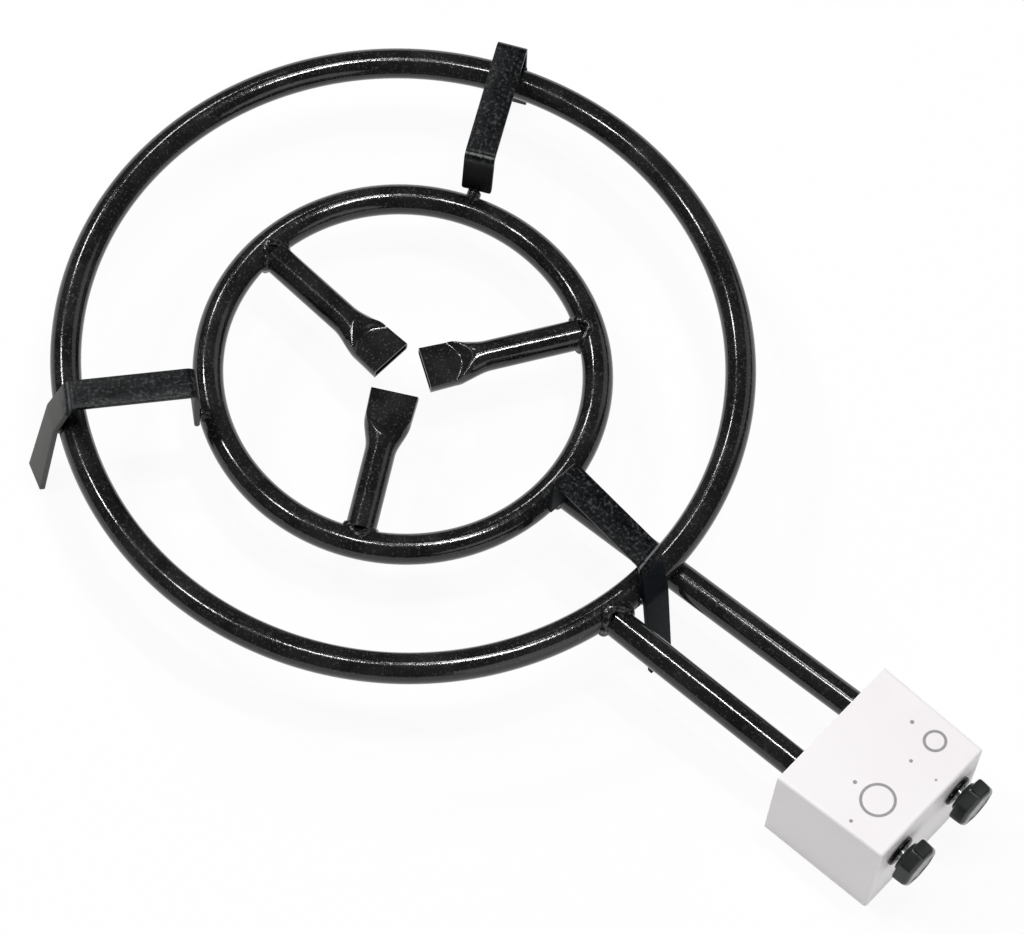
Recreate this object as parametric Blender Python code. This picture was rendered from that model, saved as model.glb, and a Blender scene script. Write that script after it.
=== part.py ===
"""Two-ring gas burner stand: two tube rings at two levels, three centre jets, three pan
brackets that reach down to the floor as legs, and a sheet-steel box with two push-and-turn taps.

Metres, +Z up. The origin is on the floor under the centre of the rings, and the control box
lies towards +X, so the rings' feed tubes run along +X as well.
"""
import bpy
import bmesh
from math import atan2, cos, hypot, pi, radians, sin, sqrt, tan
from mathutils import Matrix, Vector

# ---- driving dimensions -------------------------------------------------------------------
GAP = 0.0003                      # between pieces that touch
TUBE_D = 0.022                    # every gas tube
TUBE_WALL = 0.0015
TUBE_R = TUBE_D / 2

OUTER_RING_D = 0.500              # over the tube
INNER_RING_D = 0.300
OUTER_R = (OUTER_RING_D - TUBE_D) / 2
INNER_R = (INNER_RING_D - TUBE_D) / 2
OUTER_Z = 0.088                   # height of the outer ring's centre line
INNER_Z = OUTER_Z - TUBE_D - 0.0005   # its feed tube passes just under the outer ring
PORT_D = 0.0024
PORT_TILT = radians(-30)          # the flame ports look inwards and down
OUTER_PORTS, INNER_PORTS = 30, 16

REST_Z = 0.126                    # top of the brackets, where the pan stands
BAR_W, BAR_T = 0.022, 0.004
# brackets, bent and set by hand: direction of the bar, its sideways offset from the ring centre,
# and for its fold, shoulder and foot the distance out, height, sideways drift and skew
BRACKETS = {
    "bracket_front": (radians(356.0), 0.0079, (0.2370, 0.124, -0.0010, -0.16),
                      (0.2522, 0.092, -0.0060, -0.01), (0.2670, 0.0, -0.0060, -0.08)),
    "bracket_left": (radians(118.0), -0.0143, (0.2462, 0.124, 0.0, 0.0),
                     (0.2519, 0.090, 0.0, 0.06), (0.2730, 0.0, 0.0, 0.02)),
    "bracket_right": (radians(230.5), 0.0203, (0.2393, 0.124, 0.0, 0.0),
                      (0.2512, 0.092, 0.0, -0.085), (0.2650, 0.0, 0.0, -0.255)),
}
# centre jets: where each starts on the ring, where its mouth ends up, and the mouth's width
JETS = {
    "centre_jet_rear": (radians(178.5), (-0.0123, 0.0002), 0.0340),
    "centre_jet_left": (radians(57.1), (0.0104, 0.0112), 0.0335),
    "centre_jet_right": (radians(-60.7), (0.0081, -0.0178), 0.0352),
}
FLAT_H = 0.009                    # height of the jets' pressed ends

BOX_X0, BOX_X1 = 0.403, 0.4935    # back and front of the control box
BOX_Y = -0.0035
BOX_W_BACK, BOX_W_FRONT = 0.114, 0.108
BOX_BOTTOM = 0.002
BOX_TOP_BACK, BOX_TOP_FRONT = 0.0914, 0.0994
SHEET = 0.0012

TAP_Y = {"outer": -0.033, "inner": 0.028}     # the tap that feeds each ring
TAP_Z = INNER_Z
MOUTH_X = 0.427                   # open ends of the feed tubes, inside the box
MANIFOLD_X, MANIFOLD_Z, MANIFOLD_D = 0.458, 0.040, 0.014
PUSH = 0.0025                     # travel of the knob before it turns
KNOB_D, KNOB_BACK, KNOB_FRONT = 0.0364, 0.4988, 0.5135

ENAMEL = ((0.012, 0.012, 0.013), 0.22, 0.0)
BAR_STEEL = ((0.045, 0.046, 0.050), 0.50, 0.6)
WHITE_PAINT = ((0.86, 0.84, 0.84), 0.30, 0.0)
ZINC = ((0.62, 0.62, 0.60), 0.35, 1.0)
BRASS = ((0.72, 0.55, 0.27), 0.30, 1.0)
BLACK_PLASTIC = ((0.015, 0.018, 0.017), 0.35, 0.0)


# ---- helpers ------------------------------------------------------------------------------
def material(name, finish):
    mat = bpy.data.materials.new(name)
    mat.use_nodes = True
    shader = mat.node_tree.nodes["Principled BSDF"]
    colour, roughness, metallic = finish
    shader.inputs["Base Color"].default_value = (*colour, 1.0)
    shader.inputs["Roughness"].default_value = roughness
    shader.inputs["Metallic"].default_value = metallic
    return mat


def add(name, bm, finish, location=(0, 0, 0), rotation=(0, 0, 0), sharp=35, parent=None):
    """Turn a bmesh into a named object, shaded smooth up to the sharp angle in degrees."""
    bmesh.ops.recalc_face_normals(bm, faces=bm.faces)
    mesh = bpy.data.meshes.new(name)
    bm.to_mesh(mesh)
    bm.free()
    mesh.shade_smooth()
    mesh.set_sharp_from_angle(angle=radians(sharp))
    mesh.materials.append(material(name, finish))
    obj = bpy.data.objects.new(name, mesh)
    bpy.context.collection.objects.link(obj)
    obj.location, obj.rotation_euler = location, rotation
    obj.parent = parent
    return obj


def cutter(name, bm, location=(0, 0, 0), rotation=(0, 0, 0)):
    obj = add(name, bm, ZINC, location, rotation)
    obj.hide_render = True
    obj.display_type = "WIRE"
    return obj


def boolean(obj, tool, operation="DIFFERENCE"):
    mod = obj.modifiers.new(tool.name, "BOOLEAN")
    mod.operation, mod.object, mod.solver = operation, tool, "EXACT"


def bridge(bm, ring_a, ring_b):
    """Quads between two closed loops of the same length."""
    for i in range(len(ring_a)):
        j = (i + 1) % len(ring_a)
        bm.faces.new((ring_a[i], ring_a[j], ring_b[j], ring_b[i]))


def turned(profile, sides=32, closed=False, bm=None, place=Matrix()):
    """Revolve (x, radius) points about X; closed ones pierce the body, zero radii cap it."""
    bm = bm or bmesh.new()
    rings = [[bm.verts.new(place @ Vector((x, r * cos(a), r * sin(a))))
              for a in (2 * pi * k / sides for k in range(sides))]
             for x, r in profile if r > 1e-7]
    for first, second in zip(rings, rings[1:]):
        bridge(bm, first, second)
    if closed:
        bridge(bm, rings[-1], rings[0])
    else:
        bm.faces.new(rings[0])
        bm.faces.new(rings[-1])
    return bm


def rod(radius, x0, x1, sides=32):
    return [(x0, 0), (x0, radius), (x1, radius), (x1, 0)]


def torus_surface(bm, ring_r, tube_r, steps, sides):
    rings = []
    for i in range(steps):
        a = 2 * pi * i / steps
        rings.append([bm.verts.new(((ring_r + tube_r * cos(b)) * cos(a),
                                    (ring_r + tube_r * cos(b)) * sin(a), tube_r * sin(b)))
                      for b in (2 * pi * (k + 0.5) / sides for k in range(sides))])
    faces = []
    for i in range(steps):
        before = len(bm.faces)
        bridge(bm, rings[i], rings[(i + 1) % steps])
        bm.faces.ensure_lookup_table()
        faces += bm.faces[before:]
    return faces


def ring_tube(name, ring_r, z, steps, ports):
    """A closed ring of tube, hollow, with a row of drilled flame ports on its inner flank."""
    bm = bmesh.new()
    skin = torus_surface(bm, ring_r, TUBE_R, steps, 14)
    bmesh.ops.recalc_face_normals(bm, faces=skin)
    hollow = torus_surface(bm, ring_r, TUBE_R - TUBE_WALL, steps * 2 // 3, 6)
    bmesh.ops.recalc_face_normals(bm, faces=hollow)
    bmesh.ops.reverse_faces(bm, faces=hollow)
    mesh = bpy.data.meshes.new(name)
    bm.to_mesh(mesh)
    bm.free()
    mesh.shade_smooth()
    mesh.materials.append(material(name, ENAMEL))
    obj = bpy.data.objects.new(name, mesh)
    bpy.context.collection.objects.link(obj)
    obj.location.z = z
    drill = bmesh.new()
    for k in range(ports):
        place = (Matrix.Rotation(2 * pi * (k + 0.5) / ports, 4, "Z")
                 @ Matrix.Translation((ring_r, 0, 0))
                 @ Matrix.Rotation(pi - PORT_TILT, 4, "Y").inverted())
        turned(rod(PORT_D / 2, TUBE_R - 3.2 * TUBE_WALL, TUBE_R + 0.002), 6, bm=drill, place=place)
    boolean(obj, cutter(name + "_drill", drill, location=(0, 0, z)))
    return obj


def ring_clearance(name, ring_r, z, steps):
    """The space that a ring needs, with the gap all round, for coping what meets it."""
    bm = bmesh.new()
    torus_surface(bm, ring_r, (TUBE_R + GAP) / cos(pi / 20), steps, 20)
    return cutter(name, bm, location=(0, 0, z))


def straight_tube(name, start, end, finish=ENAMEL, radius=TUBE_R, wall=TUBE_WALL):
    """A cut length of tube between two points, with its origin at the start."""
    run = Vector(end) - Vector(start)
    profile = [(0, radius), (run.length, radius), (run.length, radius - wall), (0, radius - wall)]
    return add(name, turned(profile, 24, closed=True), finish, start,
               run.to_track_quat("X", "Z").to_euler())


def offset_path(corners, radii, half, steps=5):
    """Outline of a bent flat bar: its centre line with rounded bends, set off to both sides.

    Corners are (out, up) and, where the bar is set by hand, sideways drift and skew."""
    corners = [Vector((*corner, 0, 0)[:4]) for corner in corners]
    path = [corners[0]]
    for before, corner, after, radius in zip(corners, corners[1:], corners[2:], radii):
        back, on = before - corner, after - corner
        u, w = back.xy.normalized(), on.xy.normalized()
        half_angle = u.angle(w) / 2
        centre = corner.xy + (u + w).normalized() * radius / sin(half_angle)
        reach = radius / tan(half_angle)
        first, last = corner.xy + u * reach - centre, corner.xy + w * reach - centre
        for k in range(steps + 1):
            t = k / steps
            at = centre + first.slerp(last, t).normalized() * first.length
            hand = corner + back * (reach / back.xy.length) * (1 - t) + on * (reach / on.xy.length) * t
            path.append(Vector((at.x, at.y, hand.z, hand.w)))
    path.append(corners[-1])
    left, right = [], []
    for i, point in enumerate(path):
        run = (path[min(i + 1, len(path) - 1)] - path[max(i - 1, 0)]).xy
        normal = Vector((-run.y, run.x)).normalized() * half
        left.append(point + Vector((*normal, 0, 0)))
        right.append(point - Vector((*normal, 0, 0)))
    return left, right


def bent_bar(left, right, width):
    """Extrude a bent bar's outline, given in the XZ plane, to its width across Y."""
    bm = bmesh.new()
    sections = []
    for a, b in zip(left, right):
        sections.append([bm.verts.new((p.x + p.w * y, p.z + y, p.y)) for p, y in
                         ((a, -width / 2), (a, width / 2), (b, width / 2), (b, -width / 2))])
    for first, second in zip(sections, sections[1:]):
        bridge(bm, first, second)
    bm.faces.new(sections[0])
    bm.faces.new(sections[-1])
    return bm


def prism(outline, z0, z1, outline_top=None):
    """A straight or tapered block between two level outlines with the same corner count."""
    bm = bmesh.new()
    low = [bm.verts.new((x, y, z0)) for x, y in outline]
    high = [bm.verts.new((x, y, z1)) for x, y in (outline_top or outline)]
    bridge(bm, low, high)
    bm.faces.new(low)
    bm.faces.new(high)
    return bm


for old in list(bpy.data.objects):
    bpy.data.objects.remove(old, do_unlink=True)

# ---- the two burner rings -----------------------------------------------------------------
outer_ring = ring_tube("outer_ring", OUTER_R, OUTER_Z, 60, OUTER_PORTS)
inner_ring = ring_tube("inner_ring", INNER_R, INNER_Z, 48, INNER_PORTS)
outer_clearance = ring_clearance("outer_clearance", OUTER_R, OUTER_Z, 60)
inner_clearance = ring_clearance("inner_clearance", INNER_R, INNER_Z, 48)

# ---- the feed tubes, one from each ring to its tap ----------------------------------------
# each leaves its ring at this angle and is coped to it; the lower one runs under the outer ring
feeds = {
    "outer": (outer_ring, outer_clearance, OUTER_R, OUTER_Z, radians(-11.75)),
    "inner": (inner_ring, inner_clearance, INNER_R, INNER_Z, radians(3.6)),
}
for which, (ring, clearance, ring_r, ring_z, angle) in feeds.items():
    root = Vector((ring_r * cos(angle), ring_r * sin(angle), ring_z))
    mouth = Vector((MOUTH_X, TAP_Y[which], TAP_Z))
    along = (mouth - root).normalized()
    tube = straight_tube(which + "_feed_tube", root + along * 0.004, mouth)
    boolean(tube, clearance)
    bore = cutter(which + "_feed_bore", turned(rod(TUBE_R - 2.2 * TUBE_WALL, 0.001, TUBE_R + 0.004), 12),
                  root, along.to_track_quat("X", "Z").to_euler())
    boolean(ring, bore)


inner_feed_clearance = cutter("inner_feed_clearance", turned(rod(TUBE_R + GAP + 0.0001, 0.0, 0.08), 24),
                              root, along.to_track_quat("X", "Z").to_euler())


# ---- the three centre jets: tube whose inner end is pressed flat into a fishtail ----------
def jet_section(bm, x, half_w, half_h, sides=16):
    """A slot-shaped section: a circle where width and height are equal."""
    ring = []
    for k in range(sides):
        a = 2 * pi * (k + 0.5) / sides
        side = 1 if cos(a) > 0 else -1
        ring.append(bm.verts.new((x, side * (half_w - half_h) + half_h * cos(a), half_h * sin(a))))
    return ring


def jet(length, mouth_w, press=0.021, taper=0.026, steps=3):
    """A tube along X whose far end goes smoothly from round to the flat pressed mouth."""
    stations = [(0.0, 0.0)]
    for k in range(steps + 1):
        t = k / steps
        stations.append((length - press - taper * (1 - t), 0.88 * t * t * (3 - 2 * t)))
    stations.append((length, 1.0))
    bm = bmesh.new()
    skins = []
    for wall in (0.0, TUBE_WALL):
        skins.append([jet_section(bm, x,
                                  TUBE_R + (mouth_w / 2 - TUBE_R) * f - wall,
                                  TUBE_R + (FLAT_H / 2 - TUBE_R) * min(f / 0.88, 1.0) - wall)
                      for x, f in stations])
    for skin in skins:
        for first, second in zip(skin, skin[1:]):
            bridge(bm, first, second)
    bridge(bm, skins[0][0], skins[1][0])
    bridge(bm, skins[0][-1], skins[1][-1])
    return bm


for name, (angle, end, mouth_w) in JETS.items():
    root = Vector((INNER_R * cos(angle), INNER_R * sin(angle)))
    run = Vector(end) - root
    turn = (0, 0, atan2(run.y, run.x))
    start = root + run.normalized() * 0.004
    obj = add(name, jet(run.length - 0.004, mouth_w), ENAMEL, (*start, INNER_Z), turn)
    boolean(obj, inner_clearance)
    bore = cutter(name + "_bore", turned(rod(TUBE_R - 2.2 * TUBE_WALL, 0.001, TUBE_R + 0.004), 12),
                  (*root, INNER_Z), turn)
    boolean(inner_ring, bore)

# ---- the three brackets: flat bar, a tab to the inner ring, a pan rest and a leg ----------
for name, (angle, offset, fold, shoulder, foot) in BRACKETS.items():
    tab = sqrt((INNER_R + TUBE_R) ** 2 - offset ** 2) + GAP + BAR_T / 2
    tab_z = INNER_Z + 0.0100
    corners = [(tab, tab_z), (tab, REST_Z - BAR_T / 2), fold, shoulder, foot]
    left, right = offset_path(corners, (0.005, 0.006, 0.010), BAR_T / 2)
    left[-1].y = right[-1].y = 0.0      # the foot is cut level with the floor
    bar = bent_bar(left, right, BAR_W)
    side = Vector((-sin(angle), cos(angle), 0)) * offset
    obj = add(name, bar, BAR_STEEL, side, (0, 0, angle))
    # the weld bead that joins the tab's lower edge to the inner ring
    reach = Vector((INNER_R - tab, 0, INNER_Z - tab_z)).length - TUBE_R + 0.003
    bead_dir = Vector((INNER_R - tab, 0, INNER_Z - tab_z)).normalized()
    bead = turned([(0, 0), (0, 0.0038), (reach, 0.0050), (reach, 0)], 12)
    bead_obj = cutter(name + "_weld", bead, (tab, 0, tab_z + 0.0008),
                      bead_dir.to_track_quat("X", "Y").to_euler())
    bead_obj.parent = obj
    boolean(obj, bead_obj, "UNION")
    boolean(obj, inner_clearance)
    # and the one that joins its shoulder to the outer ring
    seam_y, seam_z = shoulder[2], shoulder[1] - 0.0005
    seam = cutter(name + "_shoulder_weld",
                  prism([(OUTER_R, seam_y - 0.009), (shoulder[0], seam_y - 0.009),
                         (shoulder[0], seam_y + 0.009), (OUTER_R, seam_y + 0.009)],
                        seam_z - 0.0018, seam_z + 0.0018))
    seam.parent = obj
    boolean(seam, outer_clearance)
    boolean(obj, seam, "UNION")
    if name == "bracket_front":         # this one's tab straddles the inner ring's feed tube
        boolean(obj, inner_feed_clearance)


# ---- the control box: a folded cover, open below and behind, and its back plate -----------
def box_half_width(x):
    t = (x - BOX_X0) / (BOX_X1 - BOX_X0)
    return (BOX_W_BACK + (BOX_W_FRONT - BOX_W_BACK) * t) / 2


def box_top(x):
    return BOX_TOP_BACK + (BOX_TOP_FRONT - BOX_TOP_BACK) * (x - BOX_X0) / (BOX_X1 - BOX_X0)


def folded_block(x0, x1, inset, bottom, fold):
    """The box's outer or inner form: tapered in plan, rising to the front, folds rounded."""
    bm = bmesh.new()
    corner = {}
    for ix, x in enumerate((x0, x1)):
        for iy, s in enumerate((-1, 1)):
            y = BOX_Y + s * (box_half_width(x) - inset)
            corner[ix, iy, 0] = bm.verts.new((x, y, bottom))
            corner[ix, iy, 1] = bm.verts.new((x, y, box_top(x) - inset))
    for axis in range(3):
        for side in (0, 1):
            a, b = [k for k in range(3) if k != axis]
            loop = []
            for pa, pb in ((0, 0), (1, 0), (1, 1), (0, 1)):
                key = [0, 0, 0]
                key[axis], key[a], key[b] = side, pa, pb
                loop.append(corner[tuple(key)])
            bm.faces.new(loop)
    bmesh.ops.recalc_face_normals(bm, faces=bm.faces)
    folds = [e for e in bm.edges if
             all(v in (corner[0, 0, 1], corner[0, 1, 1], corner[1, 0, 1], corner[1, 1, 1],
                       corner[1, 0, 0], corner[1, 1, 0]) for v in e.verts)
             and not all(v in (corner[0, 0, 1], corner[0, 1, 1]) for v in e.verts)
             and not all(v in (corner[1, 0, 0], corner[1, 1, 0]) for v in e.verts)]
    bmesh.ops.bevel(bm, geom=folds, offset=fold, segments=3, profile=0.5, affect="EDGES")
    return bm


cover = add("box_cover", folded_block(BOX_X0, BOX_X1, 0.0, BOX_BOTTOM, 0.0025), WHITE_PAINT)
boolean(cover, cutter("cover_inside", folded_block(BOX_X0 - 0.01, BOX_X1 - SHEET, SHEET,
                                                   BOX_BOTTOM - 0.01, 0.0013)))
for which, y in TAP_Y.items():
    boolean(cover, cutter("panel_hole_" + which, turned(rod(0.0064, -0.006, 0.006), 24),
                          (BOX_X1, y, TAP_Z)))
wall_y = BOX_Y + box_half_width(MANIFOLD_X)
boolean(cover, cutter("inlet_hole", turned(rod(0.0068, -0.008, 0.008), 24),
                      (MANIFOLD_X, wall_y, MANIFOLD_Z), (0, 0, pi / 2)))

# back plate: a shallow pan that slides into the cover, its lips turned forwards
PLATE_X = BOX_X0 + 0.0015
LIP = 0.011


def plate_block(x0, x1, inset, z0, top_inset):
    outline = [(x0, BOX_Y - box_half_width(x0) + inset), (x1, BOX_Y - box_half_width(x1) + inset),
               (x1, BOX_Y + box_half_width(x1) - inset), (x0, BOX_Y + box_half_width(x0) - inset)]
    return prism(outline, z0, BOX_TOP_BACK - top_inset)


plate = add("box_back_plate", plate_block(PLATE_X, PLATE_X + LIP, SHEET + 0.0004, BOX_BOTTOM + 0.001,
                                          0.0024), WHITE_PAINT)
boolean(plate, cutter("plate_inside", plate_block(PLATE_X + SHEET, PLATE_X + LIP + 0.01,
                                                  2 * SHEET + 0.0004, BOX_BOTTOM - 0.01,
                                                  0.0024 + SHEET)))
for which in feeds:
    ring_r, ring_z, angle = feeds[which][2:]
    root = Vector((ring_r * cos(angle), ring_r * sin(angle), ring_z))
    mouth = Vector((MOUTH_X, TAP_Y[which], TAP_Z))
    run = mouth - root
    boolean(plate, cutter("plate_hole_" + which, turned(rod(TUBE_R + 0.0004, 0.8 * run.length,
                                                            run.length + 0.01), 28),
                          root, run.to_track_quat("X", "Z").to_euler()))

# ---- the gas way: hose nozzle, manifold, carrier strip, taps and injectors ----------------
MANIFOLD_R = MANIFOLD_D / 2
MANIFOLD_Y0, MANIFOLD_Y1 = BOX_Y - 0.046, wall_y - 0.0035
along_y = (0, 0, pi / 2)
length = MANIFOLD_Y1 - MANIFOLD_Y0
manifold = add("gas_manifold", turned([(0, 0), (0, MANIFOLD_R - 0.001), (0.001, MANIFOLD_R),
                                       (length, MANIFOLD_R), (length, 0.0045), (0.004, 0.0045),
                                       (0.004, 0)], 20),
               ZINC, (MANIFOLD_X, MANIFOLD_Y0, MANIFOLD_Z), along_y)

nozzle = add("hose_nozzle", turned([(-0.010, 0.0025), (-0.010, 0.0042), (GAP, 0.0042), (GAP, 0.0062),
                                    (0.0050, 0.0062), (0.0050, 0.0075), (0.0085, 0.0075),
                                    (0.0092, 0.0046), (0.0115, 0.0038), (0.0118, 0.0050),
                                    (0.0148, 0.0038), (0.0151, 0.0050), (0.0181, 0.0036),
                                    (0.0184, 0.0048), (0.0208, 0.0036), (0.0208, 0.0025)],
                                   12, closed=True),
             BRASS, (MANIFOLD_X, MANIFOLD_Y1, MANIFOLD_Z), along_y)

# carrier strip: from the back plate forwards under the manifold
STRIP_T, STRIP_W = 0.002, 0.024
strip_z = MANIFOLD_Z - MANIFOLD_R - GAP - STRIP_T / 2
strip_x = PLATE_X + SHEET + GAP + STRIP_T / 2
left, right = offset_path([(strip_x, BOX_BOTTOM + 0.004), (strip_x, strip_z),
                           (MANIFOLD_X + 0.016, strip_z)], (0.003,), STRIP_T / 2, 3)
carrier = add("manifold_carrier", bent_bar(left, right, STRIP_W), ZINC, (0, BOX_Y, 0))


def screw(name, location, rotation, shank, head_r=0.0036, head_h=0.0022, shank_r=0.0019):
    """A pan-head screw along its own -X, with its head's seat at the origin."""
    profile = [(-shank, 0), (-shank, shank_r), (0, shank_r), (0, head_r), (head_h * 0.55, head_r),
               (head_h, head_r * 0.55), (head_h, 0)]
    return add(name, turned(profile, 12), ZINC, location, rotation)


def screw_hole(targets, name, location, rotation, depth, radius=0.0022):
    tool = cutter(name, turned(rod(radius, -depth, 0.004), 16), location, rotation)
    for target in targets:
        boolean(target, tool)


plate_screw_at = (PLATE_X - GAP, BOX_Y, BOX_BOTTOM + 0.012)
screw("carrier_rear_screw", plate_screw_at, (0, 0, pi), 0.006)
screw_hole((plate, carrier), "carrier_rear_hole", plate_screw_at, (0, 0, pi), 0.0063)
strip_screw_at = (MANIFOLD_X, BOX_Y, strip_z - STRIP_T / 2 - GAP)
screw("carrier_manifold_screw", strip_screw_at, (0, pi / 2, 0), 0.0045)
screw_hole((carrier, manifold), "carrier_manifold_hole", strip_screw_at, (0, pi / 2, 0), 0.0049)

# taps: body with a tapered seat, plug, bonnet, stem, panel nut and knob, all on one X axis
BODY_X0, BODY_X1 = 0.4370, 0.4760
SOCKET_X, TANG_X = 0.4625, 0.4655     # the plug's socket and the end of the stem in it
TANG_END = BODY_X1 - 0.0010 + PUSH + 0.0006   # the tang is long enough for the push
SEAT_X0, SEAT_R0, SEAT_R1 = 0.4520, 0.0050, 0.0070
PANEL_IN = BOX_X1 - SHEET


def seat_radius(x):
    return SEAT_R0 + (SEAT_R1 - SEAT_R0) * (x - SEAT_X0) / (BODY_X1 - SEAT_X0)


def tap_body():
    return turned([(BODY_X0, 0.0036), (BODY_X0, 0.0062), (0.4425, 0.0062), (0.4445, 0.0085),
                   (0.4640, 0.0085), (0.4665, 0.0105), (BODY_X1, 0.0105), (BODY_X1, SEAT_R1),
                   (SEAT_X0, SEAT_R0), (0.4505, 0.0018), (0.4425, 0.0018), (0.4425, 0.0036)],
                  16, closed=True)


def knob_outline(flutes=8, per_flute=5, depth=0.075):
    """Radius factors round a fluted grip: shallow hollows between narrow rounded lands."""
    return [1 - depth * sin(pi * ((k % per_flute) / per_flute)) for k in range(flutes * per_flute)]


def knob():
    """Fluted grip on a short neck, blind-bored for the D-shaped stem, with a pointer groove."""
    bm = bmesh.new()
    factors = knob_outline()
    sides = len(factors)
    depth = KNOB_FRONT - KNOB_BACK
    stations = [(0.0, 0.0112, 0), (0.0022, 0.0118, 0), (0.0026, KNOB_D / 2 - 0.0012, 1),
                (0.0036, KNOB_D / 2, 1), (depth - 0.0026, KNOB_D / 2 - 0.0005, 1),
                (depth - 0.0008, KNOB_D / 2 - 0.0020, 1), (depth, KNOB_D / 2 - 0.0042, 1),
                (depth - 0.0005, KNOB_D / 2 - 0.0068, 0)]
    rings = []
    for x, radius, fluted in stations:
        rings.append([bm.verts.new((x, radius * (f if fluted else 1) * cos(2 * pi * k / sides),
                                    radius * (f if fluted else 1) * sin(2 * pi * k / sides)))
                      for k, f in enumerate(factors)])
    for first, second in zip(rings, rings[1:]):
        bridge(bm, first, second)
    bm.faces.new(rings[0])
    bm.faces.new(rings[-1])
    return bm


def spring(coil_r, wire_r, length, turns, per_turn=12, sides=5):
    """A compression spring along X with closed ends, its outside length as given."""
    bm = bmesh.new()
    rings = []
    total = turns * per_turn
    for k in range(total + 1):
        t = k / total
        rise = min(max((t * turns - 0.6) / (turns - 1.2), 0), 1)
        closed = 2 * wire_r * 1.05 * (min(t * turns, 0.6) + max(t * turns - turns + 0.6, 0))
        x = wire_r + closed + rise * (length - 2 * wire_r - 2.52 * wire_r)
        a = 2 * pi * turns * t
        out = Vector((0, cos(a), sin(a)))
        rings.append([bm.verts.new(Vector((x, 0, 0)) + out * (coil_r + wire_r * cos(b))
                                   + Vector((wire_r * sin(b), 0, 0)))
                      for b in (2 * pi * (j + 0.5) / sides for j in range(sides))])
    for first, second in zip(rings, rings[1:]):
        bridge(bm, first, second)
    bm.faces.new(rings[0])
    bm.faces.new(rings[-1])
    return bm


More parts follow.
